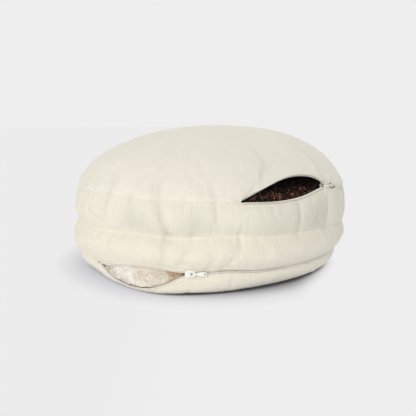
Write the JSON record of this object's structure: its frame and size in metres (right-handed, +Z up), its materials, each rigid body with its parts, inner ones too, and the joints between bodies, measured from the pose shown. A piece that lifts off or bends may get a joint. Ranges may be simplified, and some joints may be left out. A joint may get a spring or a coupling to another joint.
{
  "type": "zafu meditation cushion",
  "caption": "Round two-chamber sitting cushion in undyed cotton: hulls above, wadding below, each behind a half-open zip.",
  "frame": {"origin": "middle of the flat underside, on the surface the cushion rests on", "axes": "+Z up out of the crown, -Y toward the front, where both open zips are, +X to the right seen from the front"},
  "size_m": [0.3367, 0.3322, 0.1665],
  "materials": {
    "cotton": "undyed plain-woven cotton, matt",
    "zip_tape": "off-white woven tape",
    "zip_coil": "off-white nylon coil",
    "slider": "off-white coated slider",
    "stop": "dark grey-brown clip",
    "hulls": "dark brown loose husks",
    "wadding": "pale loose fibre"
  },
  "bodies": {
    "root": {"top_panel": "cotton", "upper_band": "cotton", "lower_band": "cotton", "bottom_panel": "cotton", "hull_filling": "hulls", "wadding_filling": "wadding", "upper_zip_tape_above": "zip_tape", "upper_zip_tape_below": "zip_tape", "upper_zip_coil_above": "zip_coil", "upper_zip_coil_below": "zip_coil", "upper_zip_slider": "slider", "upper_zip_pull": "slider", "lower_zip_tape_above": "zip_tape", "lower_zip_tape_below": "zip_tape", "lower_zip_coil_above": "zip_coil", "lower_zip_coil_below": "zip_coil", "lower_zip_slider": "slider", "lower_zip_pull": "slider", "lower_zip_stop": "stop"}
  },
  "joints": []
}
